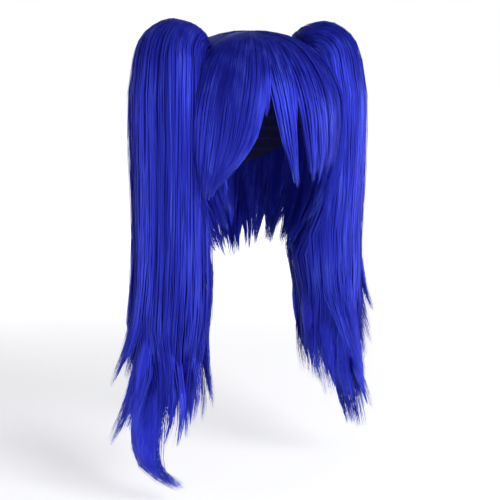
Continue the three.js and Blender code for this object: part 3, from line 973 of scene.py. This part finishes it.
# Rows of root turn, tip turn, half width, drop, depth and swing
side_locks = [(57, 42, 8, 0.905, 0.8, 1.6), (67, 46, 9, 1, 1.0, 1.6)]
nape_locks = [
    (90, 80, 13, 0.931, 1.0, 1.5),
    (110, 105, 14, 0.954, 0.9, 1.5),
    (130, 131, 14, 0.927, 1.0, 1.5),
    (150, 155, 14, 0.969, 0.9, 1.5),
    (170, 173, 14, 1, 1.0, 1.5),
]
print(len(side_locks), "locks on each cheek,", 2 * len(nape_locks), "behind")


# %% Make the lower hair
def mirrored(row):
    return (-row[0], -row[1], *row[2:])


def lower_shape(row, t, c):
    """Turn, half width and build at a share c across the lock."""
    build = row.depth * eased(lower_build, t) * (1 - lock_round * c * c) * side_hair_depth
    turn = row.root + (row.tip - row.root) * t**row.swing
    return turn, row.spread * eased(lock_width, t), build


def core_of_lower(hair, row, root_fall, tip_fall):
    t = np.linspace(0, 1, lower_core.rows)[:, None]
    across = np.linspace(-1, 1, lock_columns)
    turn, half, build = lower_shape(row, t, across)
    turn = turn + across * half * lower_core.width * (1 - lower_core.closing * t * t)
    fall = root_fall + (tip_fall * lower_core.end - root_fall) * t
    top = skin_point(on_cap + under_crown * (build * lower_core.top)[..., None], turn, fall)
    under = skin_point(on_cap + under_crown * (build * lower_core.under)[..., None], turn, fall)
    marks = row.root * lock_numbers_apart + np.concatenate([across, across[::-1]]) * half * lock_streaks
    hair.loft(np.concatenate([top, under[:, ::-1]], axis=1), marks, fall)


def make_lower(name, node, rows, reach, lanes, count, sizes):
    hair = Hair()
    for row in map(lock, rows):
        root_fall = fall_at(crown_form, crown_edge(row.root)) * lower_root_share
        tip_fall = fall_at(crown_form, reach * row.drop)
        core_of_lower(hair, row, root_fall, tip_fall)
        for c in np.linspace(-1, 1, lanes) * (1 - 1 / lanes):
            for level, share in lower_layers:
                end = 1 - lower_guide.shorter * chance_of.random()
                t = np.linspace(0, end, lower_guide.points)
                fall = root_fall + (tip_fall * lower_reach - root_fall) * t
                turn, half, build = lower_shape(row, t, c)
                skin = on_cap + under_crown * (build * level)[:, None]
                loose = lower_loose.least + lower_loose.more * t * t
                lane = half / lanes * lower_guide.lane + lower_guide.least_lane
                apart = c * np.maximum(half, row.spread * lower_guide.apart)
                strands_here = round(count * share)
                skin_guide(hair, skin, turn + apart, fall, lane, lower_thick, loose, strands_here)
    grow(hair, name, node, sizes)


side_sizes = strand_sizes(width=0.0013, waves=15.0, crossing=0.45, ragged=0.22, twists=10.0, seed=3)
nape_sizes = strand_sizes(width=0.0014, waves=15.0, crossing=0.45, ragged=0.22, twists=10.0, seed=4)
for side, rows in (("left", side_locks), ("right", [mirrored(r) for r in side_locks])):
    make_lower(f"side_strands_{side}", f"side_lock_{side}", rows, side_drop, 3, 40, side_sizes)
nape_rows = nape_locks + [mirrored(r) for r in nape_locks]
make_lower("nape_strands", "nape_hair", nape_rows, nape_drop, 4, 46, nape_sizes)

# %% [markdown]
# ## Pigtails
# Each pigtail is a thick bundle that a hidden clip holds against the crown. The hair leaves the clip on the
# inner side, folds up and over in a round puff, falls straight, and parts near its end into tapered locks
# that swing out. A simulation would let the puff fall flat, so its form is kept in tables instead: sections
# of the bundle from top to end, and rows of locks. The wearer's right pigtail ends in one longer curl.

# %% Sizes of a pigtail
tail_out = 0.100
tail_back = -0.001
tail_rise = 0.025
tail_length = 0.480
tail_half_width = 0.042
tail_half_depth = 0.052
tail_power = 2.25
tail_swing = 2.2
lock_inset = 0.2
tail_lock_width = [(0, 0.35), (0.4, 1), (0.75, 0.76), (1, 0.05)]

# Rows of fall, middle, half width and half depth as shares
tail_top = [
    (0, 0.95, 0.08, 0.08),
    (0.008, 0.94, 0.36, 0.34),
    (0.025, 0.925, 0.7, 0.58),
    (0.047, 0.93, 0.9, 0.74),
    (0.08, 0.95, 0.98, 0.88),
    (0.125, 0.98, 1.02, 1.0),
    (0.19, 1.0, 1.02, 1.08),
    (0.29, 1.0, 1.03, 1.08),
    (0.4, 1.0, 1.03, 1.02),
]
tail_ends = {
    "left": [
        (0.5, 0.98, 1.06, 0.96),
        (0.59, 1.0, 1.02, 0.92),
        (0.68, 1.05, 0.92, 0.86),
        (0.77, 1.08, 0.84, 0.8),
        (0.85, 1.13, 0.68, 0.64),
        (0.92, 1.2, 0.3, 0.26),
    ],
    "right": [
        (0.5, 1.0, 1.03, 0.96),
        (0.6, 1.0, 1.1, 0.94),
        (0.7, 1.03, 1.18, 0.94),
        (0.79, 1.05, 1.18, 0.88),
        (0.88, 1.08, 0.9, 0.7),
        (0.95, 1.12, 0.3, 0.24),
    ],
}

# Rows of across, deep, from, to, out, back, wide and thick
tail_locks = {
    "right": [
        (0.95, -0.3, 0.54, 0.82, 0.74, -0.1, 0.26, 0.16),
        (0.98, 0.2, 0.6, 0.88, 0.72, 0.1, 0.28, 0.18),
        (0.95, -0.45, 0.64, 0.95, 0.68, -0.1, 0.32, 0.2),
        (0.85, 0.1, 0.68, 1.01, 0.86, 0, 0.4, 0.26),
        (0.5, -0.55, 0.68, 1.01, 0.42, -0.05, 0.42, 0.26),
        (0.1, -0.35, 0.68, 1.0, 0.2, 0, 0.42, 0.3),
        (-0.35, -0.5, 0.66, 0.99, 0.14, -0.05, 0.4, 0.26),
        (-0.8, -0.25, 0.62, 0.94, -0.24, 0, 0.3, 0.2),
        (-0.6, 0.4, 0.66, 0.96, 0.1, 0.1, 0.4, 0.28),
        (0.3, 0.55, 0.66, 0.99, 0.2, 0.1, 0.44, 0.28),
    ],
    "left": [
        (0.9, -0.35, 0.48, 0.75, 0.5, -0.1, 0.26, 0.16),
        (0.92, 0.2, 0.54, 0.81, 0.46, 0.1, 0.28, 0.18),
        (0.7, -0.15, 0.66, 0.98, 0.36, 0, 0.38, 0.26),
        (0.72, -0.45, 0.7, 1.01, 0.6, -0.05, 0.46, 0.28),
        (0.6, 0.1, 0.7, 1.02, 0.72, 0, 0.46, 0.3),
        (0.2, -0.5, 0.66, 0.99, 0.6, 0, 0.44, 0.26),
        (-0.25, -0.45, 0.62, 0.95, 0.4, -0.05, 0.42, 0.26),
        (-0.65, -0.15, 0.58, 0.9, 0.24, 0, 0.36, 0.26),
        (-0.6, 0.5, 0.57, 0.91, 0.5, -0.1, 0.38, 0.3),
        (0.3, 0.55, 0.64, 0.96, 0.4, 0.1, 0.4, 0.3),
    ],
}
curl_path = [
    (0.35, -0.25, 0.68),
    (0.62, -0.3, 0.82),
    (0.92, -0.35, 0.93),
    (1.02, -0.35, 1.01),
    (0.76, -0.35, 1.075),
    (0.0, -0.3, 1.135),
]
curl_wide = 0.46
curl_thick = 0.3
print("locks in a pigtail:", {side: len(rows) for side, rows in tail_locks.items()})

# %% [markdown]
# ## The bundle and its locks
# Two small classes turn the tables into places. The bundle gives a point at an angle round its section at
# any fall, tells whether a point is inside it, and blows directions from its middle out onto its surface,
# which is how the hair finds its way over the puff. A lock gives its middle line, which starts in the
# bundle and swings out towards its tip. The curling lock runs along a path of its own.

# %% The form of the bundle
puff_fall = 0.094
blow_reach = 0.09
blow_steps = 24


def tail_point(side, across, deep, fall):
    """A place beside the bundle's middle line, in shares of its half width and half depth."""
    top = [(row[0], row[1]) for row in tail_top]
    x = side * (tail_out * eased(top, fall) + across * tail_half_width)
    y = tail_back + deep * tail_half_depth
    return np.stack(np.broadcast_arrays(x, y, tail_rise - fall * tail_length), -1)


class Bundle:
    """The form of a pigtail's bundle, from its table of sections."""

    def __init__(self, side, rows):
        self.side = side
        self.rows = rows

    def column(self, index, fall):
        return eased([(row[0], row[index]) for row in self.rows], fall)

    def point(self, angle, fall, share=1.0):
        """A point at an angle round the section at a fall, at a share of its reach."""
        c, s = np.cos(angle), np.sin(angle)
        reach = share * (np.abs(c) ** tail_power + np.abs(s) ** tail_power) ** (-1 / tail_power)
        out = tail_out * self.column(1, fall) + tail_half_width * self.column(2, fall) * reach * c
        deep = tail_back + tail_half_depth * self.column(3, fall) * reach * s
        return np.stack(np.broadcast_arrays(self.side * out, deep, tail_rise - fall * tail_length), -1)

    def fullness(self, points):
        """Under 1 inside the bundle and over 1 outside it."""
        fall = (tail_rise - points[:, 2]) / tail_length
        x = self.side * points[:, 0] - tail_out * self.column(1, fall)
        across = np.abs(x) / (tail_half_width * self.column(2, fall))
        deep = np.abs(points[:, 1] - tail_back) / (tail_half_depth * self.column(3, fall))
        return np.where(fall < 0, 2, (across**tail_power + deep**tail_power) ** (1 / tail_power))

    def blown(self, middle, directions, share):
        """Where lines from the middle meet the bundle's surface."""
        low, high = np.zeros(len(directions)), np.full(len(directions), blow_reach)
        for _ in range(blow_steps):
            half = (low + high) / 2
            inside = self.fullness(middle + directions * half[:, None]) < 1
            low, high = np.where(inside, half, low), np.where(inside, high, half)
        return middle + directions * (low * share)[:, None]


def clear_of_head(points, lift):
    """Moves points that lie in the crown's form level outwards onto it."""
    skin = crown_form + evenly * lift
    turn = np.degrees(np.arctan2(points[:, 0], -points[:, 1]))
    surface = skin_point(skin, turn, fall_at(skin, -points[:, 2]))
    held = (points[:, 2] > -nape_drop) & (points[:, 2] < crown_form[0])
    share = np.hypot(surface[:, 0], surface[:, 1]) / np.maximum(np.hypot(points[:, 0], points[:, 1]), 1e-6)
    moved = points.copy()
    moved[:, :2] *= np.where(held, np.maximum(share, 1), 1)[:, None]
    return moved


print("puff's middle at", Bundle(1, tail_top + tail_ends["left"]).point(0, puff_fall, 0).round(3).tolist())


# %% The locks at a pigtail's end
def spline(rows, t):
    """A smooth line through rows of numbers, at shares of its length."""
    places = np.linspace(0, 1, len(rows))
    return [eased(list(zip(places, column)), t) for column in zip(*rows)]


class TailLock:
    """A lock at a pigtail's end: where it runs, and how wide and thick it is. No row means the curl."""

    def __init__(self, side, row=None):
        self.side = side
        self.curls = row is None
        if self.curls:
            across, deep = curl_path[0][:2]
            self.start, self.end = curl_path[0][2], curl_path[-1][2]
            wide, thick = curl_wide, curl_thick
        else:
            across, deep, self.start, self.end, self.out, self.back, wide, thick = row
            self.across, self.deep = across, deep
        self.wide, self.thick = wide * tail_half_width, thick * tail_half_width
        self.angle = np.arctan2(deep, across)

    def middle(self, t):
        if self.curls:
            return tail_point(self.side, *spline(curl_path, t))
        spread = 1 - lock_inset * (1 - t) ** 2
        swung = np.asarray(t) ** tail_swing
        fall = self.start + (self.end - self.start) * np.asarray(t)
        across = self.across * spread + self.out * swung
        return tail_point(self.side, across, self.deep * spread + self.back * swung, fall)


left_locks = [TailLock(1, row) for row in tail_locks["left"]]
right_locks = [TailLock(-1, row) for row in tail_locks["right"]] + [TailLock(-1)]
print(len(left_locks), "locks on the left,", len(right_locks), "on the right")

# %% [markdown]
# ## Guides of a pigtail
# Each guide starts at the clip, is blown onto the puff's surface, follows the bundle down at one angle, and
# is drawn into the lock that hangs nearest to that angle. A lock that needs more hair than reaches it from
# the surface gets guides that start inside the bundle. Hair cut in layers also ends all over the lower
# half, so short flicks lie over the outside, and fillers between the locks keep the end from looking like a
# comb.

# %% A guide from the clip to a tip
round_guides = 28
lock_guides_per_width = 9
tail_share = 0.96
guide_depth = 0.002
bundle_round = 0.3
guide_overlap = 1.5
guide_half_width = bundle_round / round_guides / 2 * guide_overlap
guide_loose = SimpleNamespace(least=0.0006, more=0.0045)
head_clearance = 0.0015
core_sunk = 0.002
fold_points = 13
hang_points = 10
inner_points = 9
curl_extra_points = 4
puff_lift = 1.5
root_dip = 0.25
gathered_least = 0.4
gathered_by = 1.6
lane_share = 0.75
lift_share = 0.5
drawn_in_by = 0.75
wisp_spread = [(0, 1), (0.4, 1), (0.75, 1.0), (1, 0.9)]
curl_spread = [(0, 1.3), (0.5, 1.3), (0.78, 0.95), (1, 0.42)]
up = np.array([0, 0, 1.0])


def frames(points, outwards):
    """Unit vectors across and out of the hair along a line."""
    tangents = unit(np.gradient(points, axis=0))
    across = unit(np.cross(tangents, outwards))
    return across, unit(np.cross(across, tangents))


def folded_part(bundle, angle, share):
    """Points from the clip over the puff, and how far the hair has spread at each."""
    side = bundle.side
    centre = bundle.point(0, puff_fall, 0)
    t = np.linspace(0, 1, fold_points)[:, None]
    root = unit(np.array([-side, 0, -root_dip]))
    leave = unit(bundle.point(angle, puff_fall) - centre)
    apart = (1 - root @ leave) / 2
    way = unit((1 - t) ** 2 * root + 2 * t * (1 - t) * puff_lift * apart * up + t**2 * leave)
    gathered = gathered_least + (1 - gathered_least) * smooth_step(t[:, 0] * gathered_by)
    return bundle.blown(centre, way, share), gathered


def hanging_part(bundle, tail_lock, angle, share, place, fall, draws):
    """Points down the bundle and into the lock, the share of the lock passed, and the spread."""
    side = bundle.side
    t = np.clip((fall - tail_lock.start) / (tail_lock.end - tail_lock.start), 0, 1)
    level = np.array([-side * np.sin(tail_lock.angle), np.cos(tail_lock.angle), 0])
    outer = np.array([side * np.cos(tail_lock.angle), np.sin(tail_lock.angle), 0])
    lift = tail_lock.thick * lift_share * draws.normal() * t * t
    spread = eased(curl_spread if tail_lock.curls else wisp_spread, t)
    target = tail_lock.middle(t) + level * (place * tail_lock.wide * lane_share * spread)[:, None]
    target = target + outer * lift[:, None]
    blend = smooth_step(t / drawn_in_by)[:, None]
    return bundle.point(angle, fall, share) * (1 - blend) + target * blend, t, spread


def tail_guide(
    hair, bundle, tail_lock, angle, share, place, count, start_fall=None, reach=1.0, draws=chance_of
):
    """A guide from the clip, or from a fall inside the bundle, to the tip of its lock."""
    end = tail_lock.start + (tail_lock.end - tail_lock.start) * reach
    extra = curl_extra_points if tail_lock.curls else 0
    if start_fall is None:
        folded, gathered = folded_part(bundle, angle, share)
        fall = np.linspace(puff_fall, end, hang_points + 1 + extra)[1:]
    else:
        folded, gathered = np.zeros((0, 3)), np.zeros(0)
        fall = np.linspace(start_fall, end, inner_points + extra)
    hung, t, spread = hanging_part(bundle, tail_lock, angle, share, place, fall, draws)
    points = clear_of_head(np.concatenate([folded, hung]), head_clearance)
    spine = bundle.point(0, np.clip((tail_rise - points[:, 2]) / tail_length, puff_fall, None), 0)
    across, out = frames(points, unit(points - spine))
    width = np.concatenate([gathered, np.interp(t, [0, 0.5, 1], [1, 1, 0.5]) * spread])
    closing = eased(tail_lock_width, np.maximum(t, 0.4))
    deep = np.concatenate([0.6 * gathered + 0.4, 1 + 0.9 * t * closing]) * guide_depth
    loose = guide_loose.least + guide_loose.more * np.linspace(0, 1, len(points)) ** 1.6
    hair.guide(points, across * (guide_half_width * width)[:, None], out * deep[:, None], loose, count)


print("a guide over the puff has", fold_points + hang_points, "points")

# %% Cores of a pigtail
bundle_core = [(0, 0.9), (0.45, 0.9), (0.62, 0.8), (0.74, 0.5), (0.82, 0.1)]
bundle_top_falls = [0.004, 0.015, 0.03, 0.05, 0.08]
bundle_streaks = 40
end_lock_streaks = 9
end_lock_numbers_apart = 31
lock_core_end = 0.92
lock_core = SimpleNamespace(rows=11, power=2.5, size=0.9)
curl_core = SimpleNamespace(rows=14, power=4, size=1.1)


def core_of_bundle(hair, bundle):
    turns = np.linspace(0, 2 * np.pi, 24, endpoint=False)
    falls = np.concatenate([bundle_top_falls, np.linspace(0.12, bundle_core[-1][0], 18)])
    shares = eased(bundle_core, falls)
    rings = [
        clear_of_head(bundle.point(turns, fall, share), -core_sunk) for fall, share in zip(falls, shares)
    ]
    hair.loft(np.stack(rings), turns * bundle_streaks, (falls * tail_length / bundle_round)[:, None])


def core_of_lock(hair, number, tail_lock):
    """A tapered core along a lock, which ends before its wisps."""
    build = curl_core if tail_lock.curls else lock_core
    t = np.linspace(0, lock_core_end, build.rows)
    middle = tail_lock.middle(t)
    outwards = [tail_lock.side * np.cos(tail_lock.angle), np.sin(tail_lock.angle), 0]
    across, out = frames(middle, np.broadcast_to(outwards, middle.shape))
    taper = 1 - 0.95 * (t / t[-1]) ** build.power
    closing = (eased(tail_lock_width, t) * taper)[:, None, None] * build.size
    rounds = np.linspace(0, 2 * np.pi, 8, endpoint=False)[:, None]
    rings = middle[:, None] + closing * (
        across[:, None] * np.cos(rounds) * tail_lock.wide + out[:, None] * np.sin(rounds) * tail_lock.thick
    )
    marks = number * end_lock_numbers_apart + rounds[:, 0] * end_lock_streaks
    hair.loft(rings, marks, t[:, None] + 0.6)


print("the bundle's core closes at a fall of", bundle_core[-1][0])

# %% Hair into the locks
outer_count = 29
inner_count = 30
curl_inner_count = 22
outer_uneven = 0.14
curl_uneven = 0.05
inner_share = 0.76
inner_start = SimpleNamespace(highest=0.3, above=0.2)


def fill_locks(hair, bundle, locks):
    """Guides round the bundle, each drawn into its nearest lock, and inner ones where a lock needs more."""
    held = {i: [] for i in range(len(locks))}
    for angle in (np.arange(round_guides) + 0.5) * 2 * np.pi / round_guides:
        away = [abs((angle - one.angle + np.pi) % (2 * np.pi) - np.pi) for one in locks]
        held[int(np.argmin(away))].append(angle)
    for i, tail_lock in enumerate(locks):
        needed = tail_lock.wide / tail_half_width * lock_guides_per_width * (2 if tail_lock.curls else 1)
        total = len(held[i]) + max(1, round(needed) - len(held[i]))
        places = np.linspace(-1, 1, total) if total > 1 else np.zeros(1)
        for place, angle in zip(places, held[i]):
            reach = 1 - (curl_uneven if tail_lock.curls else outer_uneven) * chance_of.random()
            tail_guide(hair, bundle, tail_lock, angle, tail_share, place, outer_count, reach=reach)
        for place in places[len(held[i]) :]:
            start = max(inner_start.highest, tail_lock.start - inner_start.above)
            count = curl_inner_count if tail_lock.curls else inner_count
            tail_guide(hair, bundle, tail_lock, tail_lock.angle, inner_share, place, count, start)


print("strands in a guide:", outer_count, "outside,", inner_count, "inside")

# %% Flicks, fillers and tufts
flick_count = 18
filler_count = 21
layer_strands = 26
layer_length = 0.24
layer_start = 0.42
layer_reach = 0.95
layer_wide = 0.2
flick_share = 0.92
flick_turns = 0.55
flick_swings = (0.2, 0.36)
filler_shares = (0.5, 0.8)
tuft_share = 0.8
tuft_above = 0.1
tuft_uneven = 0.04
layer_ends = {
    "left": SimpleNamespace(
        shortest=0.75, longest=0.94, inner_cut=0.14, outer_swing=0.2, inner_swing=0.7, turn=-0.3
    ),
    "right": SimpleNamespace(
        shortest=0.75, longest=1.0, inner_cut=0.0, outer_swing=0.42, inner_swing=0.2, turn=0.3
    ),
}

# Rows of a lock as above, and its number of guides
tuft_locks = {
    "left": [
        ((0.8, 0.25, 0.7, 1.075, 0.6, 0.0, 0.5, 0.22), 8),
        ((0.88, -0.45, 0.52, 0.75, 0.6, 0.0, 0.2, 0.14), 1),
        ((0.9, -0.4, 0.56, 0.79, 0.55, 0.0, 0.2, 0.14), 1),
        ((0.88, -0.45, 0.6, 0.825, 0.5, 0.0, 0.2, 0.14), 1),
    ],
    "right": [],
}


def add_layers(hair, bundle, layer):
    """Flicks that leave the outer side one below the other, then fillers all round."""
    for i in range(flick_count + filler_count):
        flicks = i < flick_count
        angle = layer.turn + chance_of.normal() * flick_turns if flicks else i * 2 / filler_count * np.pi
        inner = (1 - np.cos(angle)) / 2
        tier = (i + 0.5) / flick_count if flicks else np.sqrt(chance_of.random())
        end = layer.shortest + (layer.longest - layer.shortest) * tier - layer.inner_cut * inner
        share = flick_share if flicks else chance_of.uniform(*filler_shares)
        flick = chance_of.uniform(*flick_swings)
        swing = flick if flicks else layer.outer_swing + (layer.inner_swing - layer.outer_swing) * inner
        place = (layer_reach * np.cos(angle), layer_reach * np.sin(angle))
        row = (*place, end - layer_length, end, swing, 0, layer_wide, layer_wide)
        tail_lock = TailLock(bundle.side, row)
        tail_guide(hair, bundle, tail_lock, angle, share, 0, layer_strands, end - layer_start)


def add_tufts(hair, bundle, rows):
    """Loose tufts that hang below the locks or stand off them."""
    tuft_chance = np.random.default_rng(7)
    for row, guides in rows:
        tuft = TailLock(bundle.side, row)
        for place in np.linspace(-1, 1, guides) if guides > 1 else (0,):
            start = tuft.start - tuft_above
            reach = 1 - tuft_uneven * tuft_chance.random()
            shape = (tuft.angle, tuft_share, place, layer_strands, start, reach, tuft_chance)
            tail_guide(hair, bundle, tuft, *shape)


print(flick_count, "flicks and", filler_count, "fillers in a pigtail")


# %% Make the pigtails
def make_tail(word, side, locks, seed):
    hair = Hair()
    bundle = Bundle(side, tail_top + tail_ends[word])
    core_of_bundle(hair, bundle)
    for number, tail_lock in enumerate(locks):
        core_of_lock(hair, number, tail_lock)
    fill_locks(hair, bundle, locks)
    add_layers(hair, bundle, layer_ends[word])
    add_tufts(hair, bundle, tuft_locks[word])
    sizes = strand_sizes(width=0.0011, waves=11.0, crossing=0.6, ragged=0.14, twists=12.0, seed=seed)
    grow(hair, f"tail_strands_{word}", f"pigtail_{word}", sizes)


make_tail("left", 1, left_locks, 5)
make_tail("right", -1, right_locks, 6)

# %% [markdown]
# ## Floor and surroundings
# The floor is a plain pale sheet under the longest lock, and its edge would show as a grey line against the
# background. So it glows a little more the further it is from the wig, by the distance in its Object
# coordinates, until it meets the white of the surroundings. Those are white to the camera and dimmer as a
# light, which a Light Path node tells apart, so that the hollows between locks stay dark.

# %% Floor and surroundings
floor_gap = 0.02
floor_size = 30.0
floor_glow = 1.0
glow_from = 0.5
glow_to = 2.6
surroundings_seen = 1.0
surroundings_light = 0.12


def make_floor():
    half = floor_size / 2
    level = cad_box[0].z - floor_gap
    mesh = bpy.data.meshes.new("floor")
    corners = [(-half, -half, level), (half, -half, level), (half, half, level), (-half, half, level)]
    mesh.from_pydata(corners, [], [(0, 1, 2, 3)])
    material, bench = new_material("pale_floor")
    place = bench.node("ShaderNodeTexCoord")["Object"]
    haze = bench.node("ShaderNodeTexNoise", None, {"Vector": place, "Scale": 3.0, "Detail": 2.0})
    colour = colour_ramp(bench, haze, [(0.3, linear(243, 243, 245)), (0.7, linear(247, 247, 249))])
    away = bench.node("ShaderNodeVectorMath", {"operation": "LENGTH"}, {0: place})["Value"]
    far = (away - glow_from) / (glow_to - glow_from)
    glow = colour_ramp(bench, far, [(0.0, linear(140, 140, 142)), (1.0, linear(250, 250, 252))])
    plain = {"Specular IOR Level": 0.1, "Roughness": 1.0, "Emission Strength": floor_glow}
    finish_material(bench, plain, {"Base Color": colour, "Emission Color": glow})
    mesh.materials.append(material)
    floor = bpy.data.objects.new("floor", mesh)
    scene.collection.objects.link(floor)
    floor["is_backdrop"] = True
    print("floor at", round(level, 3))


def make_surroundings():
    world = bpy.data.worlds.new("studio")
    world.use_nodes = True
    world.node_tree.nodes.clear()
    bench = Bench(world.node_tree)
    seen = bench.node("ShaderNodeLightPath")["Is Camera Ray"]
    strength = seen * (surroundings_seen - surroundings_light) + surroundings_light
    back = bench.node("ShaderNodeBackground", None, {"Color": (1, 1, 1, 1), "Strength": strength})
    bench.node("ShaderNodeOutputWorld", None, {"Surface": back})
    scene.world = world


make_floor()
make_surroundings()
scene.view_settings.view_transform = "Standard"

# %% [markdown] ## Sizes The box of the solids and the box of the dressed wig are printed side by side, where
# loose strands may show a few millimetres outside.
# Dressing a part mustn't change its dimensions.

# %% Sizes and finish
shown_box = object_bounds()
boxes = {"cad": [list(p) for p in cad_box], "visual": [list(p) for p in shown_box]}
print("CAD box   ", [[round(v, 4) for v in p] for p in boxes["cad"]])
print("visual box", [[round(v, 4) for v in p] for p in boxes["visual"]])
